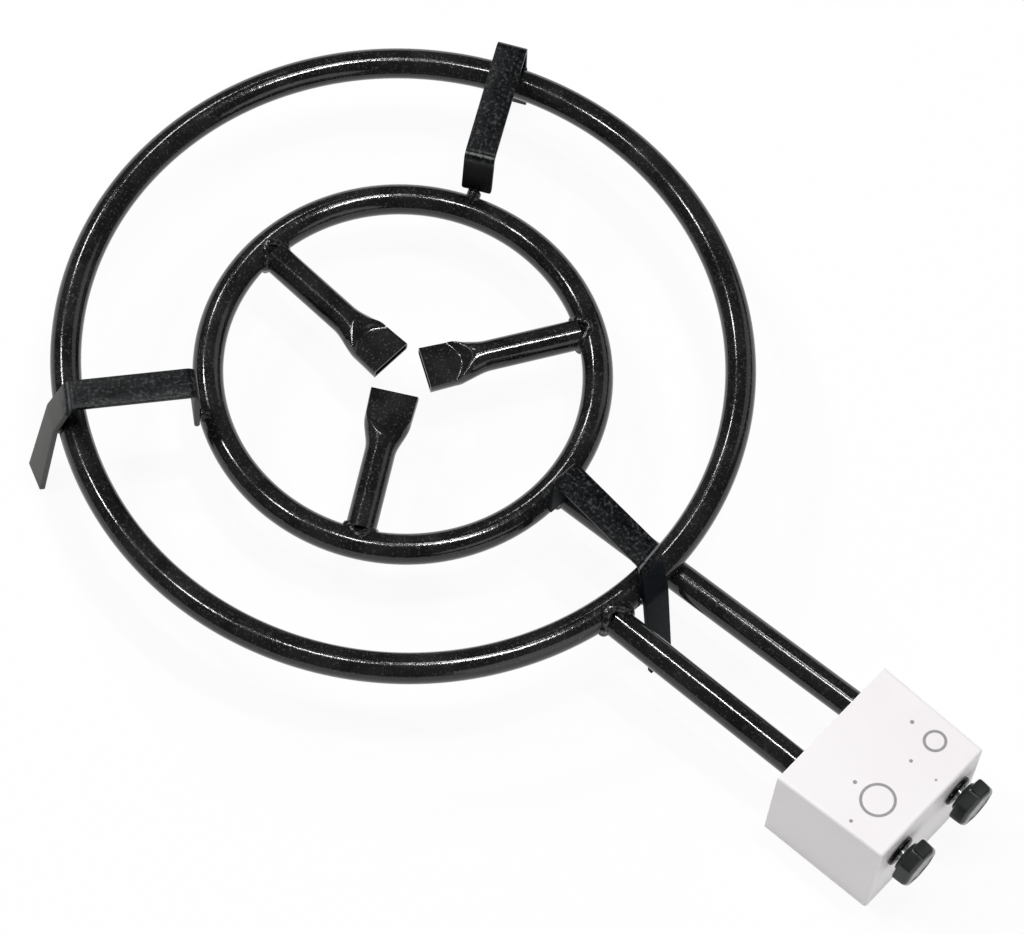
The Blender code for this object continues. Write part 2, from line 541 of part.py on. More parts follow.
for which, y in TAP_Y.items():
    centre = (0, y, TAP_Z)
    body = add(which + "_tap_body", tap_body(), BRASS, centre)
    # the foot that stands on the manifold, with its gas way up to the seat
    foot = cutter(which + "_tap_foot", turned(rod(0.0060, 0.0, TAP_Z - MANIFOLD_Z - 0.0073), 16),
                  (MANIFOLD_X, y, MANIFOLD_Z), (0, -pi / 2, 0))
    boolean(body, foot, "UNION")
    boolean(body, cutter(which + "_foot_saddle", turned(rod(MANIFOLD_R + GAP + 0.0001, -0.012, 0.012), 20),
                         (MANIFOLD_X, y, MANIFOLD_Z), along_y))
    gas_way = cutter(which + "_gas_way", turned(rod(0.0022, 0.004, TAP_Z - MANIFOLD_Z), 12),
                     (MANIFOLD_X, y, MANIFOLD_Z), (0, -pi / 2, 0))
    boolean(body, gas_way)
    boolean(manifold, gas_way)

    add(which + "_injector", turned([(-0.0042, 0), (-0.0042, 0.0033), (GAP + 0.0003, 0.0033),
                                     (GAP + 0.0003, 0.0050), (0.0034, 0.0050), (0.0040, 0.0034),
                                     (0.0078, 0.0026), (0.0078, 0.0006), (0.0048, 0.0006),
                                     (0.0048, 0)], 12),
        BRASS, (BODY_X0, y, TAP_Z), (0, 0, pi))
    bonnet = add(which + "_tap_bonnet",
                 turned([(BODY_X1 + GAP, 0.0078), (BODY_X1 + GAP, 0.0110), (0.4865, 0.0110),
                         (0.4880, 0.0095), (PANEL_IN - GAP, 0.0095), (PANEL_IN - GAP, 0.0060),
                         (0.4959, 0.0060), (0.4959, 0.0043), (0.4852, 0.0043), (0.4852, 0.0078)],
                        16, closed=True), BRASS, centre)
    add(which + "_panel_nut", turned([(BOX_X1 + GAP, 0.0063), (BOX_X1 + GAP, 0.0120),
                                      (0.4952, 0.0120), (0.4960, 0.0110), (0.4960, 0.0063)],
                                     24, closed=True), ZINC, centre)

    # everything that the hand turns: an empty on the tap's axis carries plug, stem and knob
    axis = bpy.data.objects.new(which + "_tap_axis", None)
    bpy.context.collection.objects.link(axis)
    axis.location = (PANEL_IN, y, TAP_Z)
    back = -PANEL_IN
    plug_x0, plug_x1 = SEAT_X0 + 0.0006 + back, BODY_X1 - 0.0010 + back
    plug = add(which + "_tap_plug",
               turned([(plug_x0, 0), (plug_x0, seat_radius(plug_x0 - back) - GAP - 0.0001),
                       (plug_x1, seat_radius(plug_x1 - back) - GAP - 0.0001), (plug_x1, 0)], 20),
               BRASS, parent=axis)
    # the plug's gas way: in from the side, facing away from the foot while off, and out behind
    inward = cutter(which + "_plug_way", turned(rod(0.0017, -0.0021, SEAT_R1 + 0.002), 10),
                    (MANIFOLD_X + back, 0, 0), (0, 0, -pi / 2))
    outward = cutter(which + "_plug_outlet", turned(rod(0.0013, -0.004, 0.0058), 10),
                     (plug_x0, 0, 0))
    socket = cutter(which + "_plug_socket", prism([(SOCKET_X + back, -0.0031), (0, -0.0031),
                                                   (0, 0.0031), (SOCKET_X + back, 0.0031)],
                                                  -0.0021, 0.0021))
    stem = add(which + "_tap_stem",
               turned([(TANG_X + back, 0), (TANG_X + back, 0.0027), (0.4822 + back, 0.0027),
                       (0.4822 + back, 0.0066), (0.4848 + back, 0.0066), (0.4848 + back, 0.0040),
                       (0.5085 + back, 0.0040), (0.5085 + back, 0)], 20), ZINC, parent=axis)
    for side in (-1, 1):
        tang = cutter(which + "_stem_tang_" + ("low" if side < 0 else "high"),
                      prism([(TANG_X - 0.002 + back, -0.006), (TANG_END + back, -0.006),
                             (TANG_END + back, 0.006), (TANG_X - 0.002 + back, 0.006)],
                            *sorted((side * 0.0018, side * 0.006))))
        tang.parent = axis
        boolean(stem, tang)
    for tool in (inward, outward, socket):
        tool.parent = axis
        boolean(plug, tool)
    add(which + "_return_spring", spring(0.0050, 0.0004, 0.0042, 3), ZINC,
        (0.4822 - GAP - 0.0042 + back, 0, 0), sharp=80, parent=axis)
    flat = cutter(which + "_stem_flat", prism([(0, -0.006), (0.03, -0.006), (0.03, 0.006),
                                               (0, 0.006)], 0.0024, 0.008),
                  (KNOB_BACK + back - 0.0006, 0, 0))
    flat.parent = axis
    boolean(stem, flat)
    grip = add(which + "_knob", knob(), BLACK_PLASTIC, (KNOB_BACK + back, 0, 0), sharp=28,
               parent=axis)
    bore = cutter(which + "_knob_bore", turned(rod(0.0043, -0.002, 0.0105), 24),
                  (KNOB_BACK + back, 0, 0))
    key = cutter(which + "_knob_key", prism([(-0.003, -0.006), (0.013, -0.006), (0.013, 0.006),
                                             (-0.003, 0.006)], 0.0027, 0.008),
                 (KNOB_BACK + back, 0, 0))
    pointer = cutter(which + "_knob_pointer", prism([(0.0050, -0.0007), (0.016, -0.0007),
                                                     (0.016, 0.0007), (0.0050, 0.0007)],
                                                    0.0163, 0.0200),
                     (KNOB_BACK + back, 0, 0))
    boolean(bore, key)
    bore.parent = key.parent = pointer.parent = axis
    boolean(grip, bore)
    boolean(grip, pointer)

# ---- the whole stand is centred over its own bounding box ---------------------------------
# lengthways from the ring to the knobs, sideways from the ring to the left bracket's foot
stand = bpy.data.objects.new("stand", None)
bpy.context.collection.objects.link(stand)
for obj in bpy.data.objects:
    if obj.parent is None and obj is not stand:
        obj.parent = stand
angle, offset, fold, shoulder, foot = BRACKETS["bracket_left"]
foot_reach = (foot[0] + BAR_T / 2) * sin(angle) + (offset - BAR_W / 2) * cos(angle)
stand.location.x = -(KNOB_FRONT - OUTER_RING_D / 2) / 2
stand.location.y = -(foot_reach - OUTER_RING_D / 2) / 2
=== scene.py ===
from math import atan2, cos, hypot, pi, radians, sin, sqrt, tan

import bmesh
import bpy
from mathutils import Matrix, Vector, noise


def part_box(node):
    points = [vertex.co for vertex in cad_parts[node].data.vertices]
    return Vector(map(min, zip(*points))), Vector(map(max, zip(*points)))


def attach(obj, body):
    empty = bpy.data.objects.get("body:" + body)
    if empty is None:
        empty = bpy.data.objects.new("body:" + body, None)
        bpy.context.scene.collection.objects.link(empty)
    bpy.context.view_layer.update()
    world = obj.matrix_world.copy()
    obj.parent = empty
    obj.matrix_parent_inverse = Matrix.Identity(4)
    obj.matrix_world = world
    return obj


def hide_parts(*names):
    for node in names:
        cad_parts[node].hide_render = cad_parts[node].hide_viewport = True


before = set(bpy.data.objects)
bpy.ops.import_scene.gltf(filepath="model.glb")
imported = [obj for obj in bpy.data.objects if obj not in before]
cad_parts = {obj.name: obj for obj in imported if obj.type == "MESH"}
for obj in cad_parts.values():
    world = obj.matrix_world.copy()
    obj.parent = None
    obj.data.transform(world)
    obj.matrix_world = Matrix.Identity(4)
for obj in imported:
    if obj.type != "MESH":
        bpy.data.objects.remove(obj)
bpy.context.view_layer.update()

# ---- The view: a long lens high over the box's near corner --------------------------------
# The stand is seen from 65 degrees up, turned a little on the lens axis.
low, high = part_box("outer_ring")
HUB = Vector(((low.x + high.x) / 2, (low.y + high.y) / 2, 0))      # on the floor, under the rings' centre


def at(x, y, z):
    """A place on the stand, measured from under the rings' centre towards the box."""
    return HUB + Vector((x, y, z))


eye, aim, roll = at(1.0004, -1.2447, 3.2845), at(0.1128, -0.0107, 0.088), radians(7.26)
ahead = (aim - eye).normalized()
across = ahead.cross(Vector((0, 0, 1))).normalized()
upward = across.cross(ahead)
axis_x = across * cos(roll) + upward * sin(roll)
axis_y = upward * cos(roll) - across * sin(roll)
camera = bpy.data.objects.new("camera", bpy.data.cameras.new("camera"))
bpy.context.scene.collection.objects.link(camera)
camera.matrix_world = Matrix.Translation(eye) @ Matrix((axis_x, axis_y, -ahead)).transposed().to_4x4()
camera.data.sensor_width = 36.0
camera.data.lens = 177.54
camera.data.clip_end = 100.0
bpy.context.scene.camera = camera
bpy.context.scene.view_settings.view_transform = "Standard"


# ---- How finishes are written ---------------------------------------------------------------
# A finish is one Principled shader. What varies over it is written as sums over shader nodes.
class Wire:
    """A value on its way through the shader nodes, so that it can be used in plain sums."""

    def __init__(self, finish, socket):
        self.finish, self.socket = finish, socket

    def _sum(self, operation, a, b):
        return self.finish.node("Math", {"operation": operation}, {0: a, 1: b})

    def __add__(self, other):
        return self._sum("ADD", self, other)

    def __sub__(self, other):
        return self._sum("SUBTRACT", self, other)

    def __rsub__(self, other):
        return self._sum("SUBTRACT", other, self)

    def __mul__(self, other):
        return self._sum("MULTIPLY", self, other)

    def __pow__(self, other):
        return self._sum("POWER", self, other)

    def __abs__(self):
        return self._sum("ABSOLUTE", self, 0.0)

    __radd__, __rmul__ = __add__, __mul__

    def at_least(self, other):
        return self._sum("MAXIMUM", self, other)

    def at_most(self, other):
        return self._sum("MINIMUM", self, other)

    def clear(self, low, high):
        """0 below low, 1 above high, eased between."""
        return self.finish.node("MapRange", {"interpolation_type": "SMOOTHSTEP"},
                                {0: self, 1: low, 2: high, 3: 0.0, 4: 1.0})


class Finish:
    """One surface finish: a Principled shader with fixed settings, and what varies over it."""

    def __init__(self, name, **settings):
        self.material = bpy.data.materials.new(name)
        self.material.use_nodes = True
        self.nodes = self.material.node_tree.nodes
        self.links = self.material.node_tree.links
        self.shader = self.nodes["Principled BSDF"]
        self.output = self.nodes["Material Output"]
        for socket, value in settings.items():
            self.shader.inputs[socket.replace("_", " ")].default_value = value

    def node(self, kind, settings, values, out=0):
        node = self.nodes.new("ShaderNode" + kind)
        for key, value in settings.items():
            setattr(node, key, value)
        for socket, value in values.items():
            self.set(node.inputs[socket], value)
        return Wire(self, node.outputs[out])

    def set(self, socket, value):
        if isinstance(value, Wire):
            self.links.new(value.socket, socket)
        else:
            socket.default_value = value

    def vary(self, **values):
        for socket, value in values.items():
            self.set(self.shader.inputs[socket.replace("_", " ")], value)

    def place(self):
        return self.node("TexCoord", {}, {}, out="Object")

    def axes(self):
        """The place's X, Y and Z."""
        where = self.place()
        return [self.node("SeparateXYZ", {}, {0: where}, out=k) for k in range(3)]

    def cloud(self, scale, detail=2.0, stretch=None, roughness=0.5):
        where = self.place()
        if stretch:
            where = self.node("VectorMath", {"operation": "MULTIPLY"}, {0: where, 1: stretch})
        return self.node("TexNoise", {}, {"Vector": where, "Scale": scale, "Detail": detail,
                                          "Roughness": roughness})

    def mix(self, share, a, b):
        """Colour a where the share is 0, colour b where it is 1."""
        a, b = ((*colour, 1) if isinstance(colour, tuple) else colour for colour in (a, b))
        return self.node("Mix", {"data_type": "RGBA"}, {0: share, 6: a, 7: b}, out=2)

    def relief(self, height, distance, strength):
        return self.node("Bump", {}, {"Height": height, "Distance": distance, "Strength": strength})


# ---- The table: a white sheet under a hoop of small lamps ----------------------------------
# The lamps stand where each of them glints in another stretch of the round tubes, so that one
# thin line of light runs round every ring and along the feed tubes. Two wide soft ones stand
# low, to the left of the box and ahead of it.
def seen(finish):
    """1 for what the camera sees directly, in a mirror or through glass."""
    return (finish.node("LightPath", {}, {}, out="Is Camera Ray")
            .at_least(finish.node("LightPath", {}, {}, out="Is Glossy Ray"))
            .at_least(finish.node("LightPath", {}, {}, out="Is Transmission Ray")))


PAPER_HALF, PAPER_WHITE = 25.0, 0.93        # metres; the share of plain white, the rest takes the shadow
sheet = bpy.data.meshes.new("sheet")
sheet.from_pydata([(x * PAPER_HALF, y * PAPER_HALF, 0) for x, y in ((-1, -1), (1, -1), (1, 1), (-1, 1))],
                  [], [(0, 1, 2, 3)])
table = bpy.data.objects.new("table", sheet)
bpy.context.scene.collection.objects.link(table)
paper = Finish("table_paper", Base_Color=(0.88, 0.88, 0.88, 1), Roughness=0.9)
glow = paper.node("Emission", {}, {"Color": (1, 1, 1, 1), "Strength": 1.0})
paper.set(paper.output.inputs["Surface"], paper.node("MixShader", {}, {
    0: seen(paper) * PAPER_WHITE, 1: Wire(paper, paper.shader.outputs[0]), 2: glow}))
sheet.materials.append(paper.material)

world = bpy.data.worlds.new("studio")
bpy.context.scene.world = world
world.use_nodes = True
world.node_tree.nodes["Background"].inputs["Color"].default_value = (1.0, 1.0, 1.0, 1)
world.node_tree.nodes["Background"].inputs["Strength"].default_value = 0.11


def lamp(name, place, toward, distance, size, power):
    light = bpy.data.objects.new(name, bpy.data.lights.new(name, "AREA"))
    light.data.shape, light.data.size, light.data.energy = "DISK", size, power
    light.location = place + toward.normalized() * distance
    light.rotation_mode = "QUATERNION"
    light.rotation_quaternion = toward.to_track_quat("Z", "Y")
    bpy.context.scene.collection.objects.link(light)


HOOP_STEP, HOOP_AWAY = radians(22.5), 5.0


def line_lamp(name, place, along, beside, size, power):
    """A small lamp whose light lies as a line along a tube that passes this place.

    beside is how far from the tube's middle the line lies in the picture, in tube radii.
    """
    back = (eye - place).normalized()
    over = along.cross(back).normalized()
    offset = over.dot(beside)
    glint = over * offset + over.cross(along) * sqrt(1 - offset ** 2)
    lamp(name, place, glint * 2 * glint.dot(back) - back, HOOP_AWAY, size, power)


ring_side, feed_side = axis_x * -0.28 + axis_y * 0.32, axis_x * 0.14 + axis_y * 0.20
for k, power in enumerate((15, 21, 29, 35, 32, 29, 11)):
    ring_run = Vector((-sin(HOOP_STEP * k), cos(HOOP_STEP * k), 0))
    line_lamp("hoop_lamp_%d" % k, aim, ring_run, ring_side, 0.40, power)
ring_end, box_end = at(0.245, -0.050, 0.088), at(0.403, -0.035, 0.067)      # of the outer ring's feed tube
feed_run = (box_end - ring_end).normalized()
for k, share in enumerate((0.15, 0.50, 0.85)):
    line_lamp("feed_lamp_%d" % k, ring_end.lerp(box_end, share), feed_run, feed_side, 0.28, 16)
line_lamp("far_side_lamp", aim, feed_run, feed_side, 0.24, 36)      # the hoop leaves a gap over the far side
lamp("low_lamp_left", aim, Vector((0.296, 0.836, 0.463)), 4.0, 2.2, 9)
lamp("low_lamp_ahead", aim, Vector((0.95, -0.25, 0.20)), 3.5, 2.6, 20)


# ---- How shapes are built ------------------------------------------------------------------
def body_mesh(name, parts, finish=None, sharp=35.0):
    """An object from (vertices, faces) parts, all one mesh, smooth except at sharp angles."""
    verts, faces = [], []
    for part_verts, part_faces in parts:
        start = len(verts)
        verts += part_verts
        faces += [tuple(start + i for i in face) for face in part_faces]
    mesh = bpy.data.meshes.new(name)
    mesh.from_pydata([tuple(v) for v in verts], [], faces)
    bm = bmesh.new()
    bm.from_mesh(mesh)
    bmesh.ops.recalc_face_normals(bm, faces=bm.faces)
    bm.to_mesh(mesh)
    bm.free()
    mesh.shade_smooth()
    mesh.set_sharp_from_angle(angle=radians(sharp))
    if finish:
        mesh.materials.append(finish.material)
    obj = bpy.data.objects.new(name, mesh)
    bpy.context.scene.collection.objects.link(obj)
    return obj


def skin(sections, joined=False):
    """Quads between successive closed sections, capped at both ends or joined into a ring."""
    n, m = len(sections), len(sections[0])
    faces = []
    for i in range(n if joined else n - 1):
        a, b = i * m, (i + 1) % n * m
        faces += [(a + j, a + (j + 1) % m, b + (j + 1) % m, b + j) for j in range(m)]
    if not joined:
        faces += [tuple(range(m))[::-1], tuple(range((n - 1) * m, n * m))]
    return [p for section in sections for p in section], faces


def stands_for(obj, *nodes, body="frame", slot="black_enamel"):
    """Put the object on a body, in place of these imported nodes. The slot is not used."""
    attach(obj, body)
    if nodes:
        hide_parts(*nodes)


def cut(obj, tools, sharp=35.0):
    """Cut the tools' shapes out of the object for good, with crisp rims round the cuts."""
    tool = body_mesh(obj.name + "_tool", tools)
    mod = obj.modifiers.new("cut", "BOOLEAN")
    mod.operation, mod.object, mod.solver = "DIFFERENCE", tool, "EXACT"
    graph = bpy.context.evaluated_depsgraph_get()
    mesh = bpy.data.meshes.new_from_object(obj.evaluated_get(graph))
    obj.modifiers.clear()
    mesh.set_sharp_from_angle(angle=radians(sharp))
    obj.data = mesh
    mesh.name = obj.name
    tool_mesh = tool.data
    bpy.data.objects.remove(tool)
    bpy.data.meshes.remove(tool_mesh)


def turns(count, start=0.0):
    """Evenly spaced angles, once round."""
    return [2 * pi * (k + start) / count for k in range(count)]


def circle(centre, along, radius, sides):
    """Points round a centre, square to a direction."""
    side = along.orthogonal().normalized()
    other = along.cross(side)
    return [centre + (side * cos(a) + other * sin(a)) * radius for a in turns(sides)]


def drum(start, end, radius, sides):
    """A solid round bar between two points."""
    along = (end - start).normalized()
    return skin([circle(point, along, radius, sides) for point in (start, end)])


def torus(hub, ring_r, tube_r, around, sides):
    """A closed ring of round bar."""
    section = [(ring_r + tube_r * cos(b), tube_r * sin(b)) for b in turns(sides)]
    return skin([[hub + Vector((out * cos(a), out * sin(a), up)) for out, up in section]
                 for a in turns(around)], joined=True)


# ---- The two gas rings ---------------------------------------------------------------------
# Round steel tube rolled into closed rings, black gloss enamel fired on all over. A row of
# flame ports is drilled in the inner flank of each, slanting down, where the enamel stays thin.
enamel = Finish("black_enamel", Metallic=0.0, IOR=1.5)
mottle = enamel.cloud(38.0, 4.0)
specks = enamel.cloud(560.0, 4.0)
enamel_black = enamel.mix(mottle.clear(0.35, 0.7), (0.0040, 0.0042, 0.0043), (0.0125, 0.0131, 0.0123))
enamel_waves = specks * 0.35 + enamel.cloud(260.0, 3.0) * 0.9 + enamel.cloud(34.0, 2.0) * 2.0
enamel.vary(Base_Color=enamel.mix(specks.clear(0.54, 0.72) * 0.7, enamel_black, (0.055, 0.060, 0.054)),
            Roughness=0.10 + mottle.clear(0.3, 0.8) * 0.05 + specks.clear(0.55, 0.75) * 0.12,
            Normal=enamel.relief(enamel_waves, 0.00036, 0.22))

TUBE = 0.011                                        # the tube's radius
PORT_R, PORT_DEPTH, PORT_SLANT = 0.0012, 0.0016, radians(30)
rings = {}                                          # each ring's centre and its middle line's radius
for name, ports, steps in (("outer_ring", 30, 240), ("inner_ring", 16, 180)):
    low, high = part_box(name)
    hub = at(0, 0, (low.z + high.z) / 2)
    ring_r = (high.x - low.x) / 2 - TUBE
    rings[name] = (hub, ring_r)
    ring = body_mesh(name + "_enamelled", [torus(hub, ring_r, TUBE, steps, 36)], enamel)
    drills = []
    for a in turns(ports, start=0.5):
        outward = Vector((cos(a), sin(a), 0))
        inward = outward * -cos(PORT_SLANT) + Vector((0, 0, -sin(PORT_SLANT)))
        heart = hub + outward * ring_r
        drills.append(drum(heart + inward * (TUBE - PORT_DEPTH), heart + inward * (TUBE + 0.002), PORT_R, 16))
    cut(ring, drills)
    stands_for(ring, name)

# ---- The two feed tubes and their welds ----------------------------------------------------
# The same tube, cut to length and welded to the outside of its ring with a hand-laid bead. The
# lower ring's tube passes under the upper ring. Both run on through the box's back.
weld = Finish("enamelled_weld", Metallic=0.0, IOR=1.5)
grit = weld.cloud(420.0, 3.0)
weld.vary(Base_Color=weld.mix(grit.clear(0.45, 0.75), (0.004, 0.004, 0.0045), (0.050, 0.048, 0.050)),
          Roughness=0.13 + grit * 0.16,
          Normal=weld.relief(grit * 0.6 + weld.cloud(150.0, 2.0) * 2.0, 0.0006, 0.6))


def bead(name, path, size, ripples, closed=True, sides=14, seed=0.0, uneven=0.3):
    """A weld bead laid along a path: round, rippled, uneven, and dying away at open ends."""
    n = len(path)
    sections = []
    for i, point in enumerate(path):
        after = path[(i + 1) % n] if closed or i < n - 1 else point
        before = path[i - 1] if closed or i > 0 else point
        swell = uneven * noise.noise(point * 90 + Vector((seed, 0, 0)))
        r = size * (1 + 0.10 * sin(2 * pi * ripples * i / n) + swell)
        if not closed:
            r *= max(0.15, min(1.0, sqrt(max(0.0, sin(pi * i / (n - 1)))) * 1.25))
        round_it = circle(point, (after - before).normalized(), r, sides)
        sections.append([point + (p - point) * (1 + 0.06 * noise.noise(point * 300 + Vector((0, k, seed))))
                         for k, p in enumerate(round_it)])
    if closed:      # carry the section's starting corner round, so that the skin does not twist
        fixed = [sections[0]]
        for section in sections[1:]:
            last = fixed[-1]
            turn = min(range(sides), key=lambda t: sum((section[(k + t) % sides] - last[k]).length
                                                       for k in range(0, sides, 3)))
            fixed.append(section[turn:] + section[:turn])
        sections = fixed
    stands_for(body_mesh(name, [skin(sections, joined=closed)], weld, sharp=60))


SUNK_IN_TUBE, SUNK_IN_RING = 0.0004, 0.0003     # how deep a bead's middle line lies
SEAM_REACH = 0.03                               # how far along the tube the seam is looked for


def seam(ring, start, along):
    """The line, eased as a bead lies, where a tube from start, running along, leaves the ring."""
    hub, ring_r = rings[ring]
    points = []
    for base in circle(start, along, TUBE - SUNK_IN_TUBE, 72):

        def depth(t):
            p = base + along * t - hub
            return hypot(hypot(p.x, p.y) - ring_r, p.z) - TUBE + SUNK_IN_RING

        near, far = 0.0 if depth(0.0) < 0 else -SEAM_REACH, SEAM_REACH
        for _ in range(30):
            middle = (near + far) / 2
            near, far = (middle, far) if depth(middle) < 0 else (near, middle)
        points.append(base + along * near)
    for _ in range(4):
        points = [(before + point * 2 + after) / 4
                  for before, point, after in zip(points[-1:] + points, points, points[1:] + points[:1])]
    return points


def tube_wall(start, end, radius, wall, chamfer=0.0004, sides=48):
    """A cut length of tube: outside, both annular ends and the bore, as one closed skin."""
    along = (end - start).normalized()
    return skin([circle(place, along, r, sides) for place, r in (
        (start, radius), (end - along * chamfer, radius), (end, radius - chamfer),
        (end, radius - wall), (start, radius - wall))], joined=True)


TUBE_WALL = 0.0015
ROOT = 0.009            # a tube starts this far from the middle line of the ring that it is welded to
MOUTH_X = 0.427         # where both feed tubes end, in front of the injectors
TAP_Y = {"outer": -0.033, "inner": 0.028}
tap_z = rings["inner_ring"][0].z
for which, angle, seed in (("outer", radians(-11.75), 3.0), ("inner", radians(3.6), 8.0)):
    hub, ring_r = rings[which + "_ring"]
    root = hub + Vector((cos(angle), sin(angle), 0)) * ring_r
    mouth = at(MOUTH_X, TAP_Y[which], tap_z)
    along = (mouth - root).normalized()
    tube = body_mesh(which + "_feed_tube_enamelled",
                     [tube_wall(root + along * ROOT, mouth, TUBE, TUBE_WALL)], enamel)
    stands_for(tube, which + "_feed_tube")
    bead(which + "_feed_weld", seam(which + "_ring", root, along), 0.0038, 13, seed=seed, uneven=0.35)

# ---- The three centre jets -----------------------------------------------------------------
# Short tubes welded inside the lower ring. Each inner end is pressed in a die to a flat, flared
# mouth; the press leaves a curved crease across the top and bottom where the tube turns flat.
FLAT_HALF = 0.0045                          # half the flat mouth's thickness
FLARE_FROM, FLARE_TO = 0.047, 0.021         # how far from the mouth the tube widens, quickly and then slowly
CREASE, CREASE_BOW, CREASE_LENGTH = 0.0405, 0.0115, 0.0135
JET_WALL = 0.0013


def jet_shape(length, mouth_half, wall, sides=56):
    """Sections along X of the outside or, with a wall, of the bore."""
    sections = []
    for x in [0.0, length - 0.056] + [length - 0.0475 + 0.0475 * k / 38 for k in range(39)]:
        to_mouth = length - x
        opened = min(max((FLARE_FROM - to_mouth) / (FLARE_FROM - FLARE_TO), 0.0), 1.0)
        opened = 0.88 * opened * opened * (3 - 2 * opened) + 0.12 * max(0.0, (FLARE_TO - to_mouth) / FLARE_TO)
        half_w = TUBE + (mouth_half - TUBE) * opened
        corner = FLAT_HALF - 0.0005
        loop = []
        for a in turns(sides, start=0.5):
            pressed = min(max((CREASE - to_mouth - CREASE_BOW * cos(a) ** 2) / CREASE_LENGTH, 0.0), 1.0)
            pressed = pressed * pressed * (2.2 - 1.2 * pressed)
            half_h = TUBE + (FLAT_HALF - TUBE) * pressed
            flat_y = (half_w - corner) * max(-1.0, min(1.0, cos(a) * 1.25)) + corner * cos(a)
            flat_z = max(-1.0, min(1.0, sin(a) * 1.7)) * half_h
            y = half_w * cos(a) * (1 - pressed) + flat_y * pressed
            z = TUBE * sin(a) * (1 - pressed) + flat_z * pressed
            loop.append((x, y * (1 - wall / half_w), z * (1 - wall / half_h)))
        sections.append(loop)
    return sections


hub, ring_r = rings["inner_ring"]
for name, angle, end, mouth in (("centre_jet_rear", radians(178.5), (-0.0123, 0.0002), 0.0170),
                                ("centre_jet_left", radians(57.1), (0.0104, 0.0112), 0.01675),
                                ("centre_jet_right", radians(-60.7), (0.0081, -0.0178), 0.0176)):
    root = hub + Vector((cos(angle), sin(angle), 0)) * ring_r
    inward = at(*end, hub.z) - root
    length = inward.length - ROOT
    inward.normalize()
    turn = Matrix.Translation(root + inward * ROOT) @ Matrix.Rotation(atan2(inward.y, inward.x), 4, "Z")
    outside, bore = ([[turn @ Vector(p) for p in loop] for loop in jet_shape(length, mouth, wall)]
                     for wall in (0.0, JET_WALL))
    jet = body_mesh(name + "_enamelled", [skin(outside + bore[::-1], joined=True)], enamel, sharp=50)
    stands_for(jet, name)
    bead(name + "_weld", seam("inner_ring", root, inward), 0.0030, 12, seed=angle, uneven=0.45)

# ---- The three brackets: pan rest and leg in one flat bar ----------------------------------
# Hot-rolled flat bar, bent by hand over a former: a tab welded to the lower ring, a level pan
# rest, a shoulder over the upper ring and a leg cut off square at the floor. Satin black paint.
REST_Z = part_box("bracket_left")[1].z
BAR_W, BAR_T = 0.022, 0.004


def bar_paint(name, gloss, leg_reflection, glint_lines):
    """Satin paint, with a painted highlight as a pale line across the bends, and duller on the leg, whose
    colour is a painted reflection.

    Each painted highlight line has its strength, how far out it lies, its skew across the bar and its half
    width.
    """
    paint = Finish(name, IOR=1.45, Specular_IOR_Level=gloss)
    marks = paint.cloud(190.0, 5.0, roughness=0.7)
    flecks = paint.cloud(430.0, 3.0).clear(0.50, 0.72)
    out, over, up = paint.axes()
    colour = paint.mix(marks.clear(0.38, 0.66), (0.0020, 0.0022, 0.0027), (0.0090, 0.0100, 0.0110))
    colour = paint.mix(flecks * 0.9, colour, (0.050, 0.056, 0.058))
    on_leg = 1.0 - up.clear(REST_Z - 0.014, REST_Z - 0.006)
    # painted reflection: the leg takes its own colour, bluish on the front bracket and pale grey on
    # bracket_right, as its face catches the bright surroundings
    colour = paint.mix(on_leg * 0.9, colour, leg_reflection)
    # painted highlight: a pale line across each bend, where the bend's glint falls
    painted_glint = 0.0
    for share, line_x, skew, half in glint_lines:
        on_glint_line = 1.0 - abs(out - line_x - over * skew).clear(half * 0.4, half)
        painted_glint = on_glint_line * (share * paint.cloud(300.0).clear(0.2, 0.5)) + painted_glint
    painted_glint = painted_glint * up.clear(REST_Z - 0.012, REST_Z - 0.009)
    # the pale colour of the painted highlight across the bends
    paint.vary(Base_Color=paint.mix(painted_glint.at_most(1.0), colour, (0.20, 0.21, 0.21)),
               Roughness=0.22 + marks * 0.14 + on_leg * 0.3,
               Normal=paint.relief(marks + paint.cloud(800.0, 2.0) * 0.5, 0.00035, 0.6))
    return paint


def bent(corners, radii, steps=12):
    """A bar's middle line, its bends rounded: how far out, how high, its drift and its skew."""
    corners = [Vector((*corner, 0, 0)[:4]) for corner in corners]
    path = [corners[0]]
    for before, corner, after, radius in zip(corners, corners[1:], corners[2:], radii):
        back, on = before - corner, after - corner
        u, w = back.xy.normalized(), on.xy.normalized()
        half_angle = u.angle(w) / 2
        centre = corner.xy + (u + w).normalized() * radius / sin(half_angle)
        reach = radius / tan(half_angle)
        first, last = corner.xy + u * reach - centre, corner.xy + w * reach - centre
        for k in range(steps + 1):
            t = k / steps
            middle = centre + first.slerp(last, t).normalized() * first.length
            hand = corner + back * (reach / back.xy.length) * (1 - t) + on * (reach / on.xy.length) * t
            path.append(Vector((*middle, hand.z, hand.w)))
    return path + [corners[-1]]


def bar_section(half_w, half_t, corner=0.0007):
    """A rectangle with rounded corners, across the bar and through it."""
    loop = []
    for sy, sz, start in ((1, 1, 0), (-1, 1, 90), (-1, -1, 180), (1, -1, 270)):
        for k in range(4):
            a = radians(start + 30 * k)
            loop.append((sy * (half_w - corner) + corner * cos(a), sz * (half_t - corner) + corner * sin(a)))
    return loop


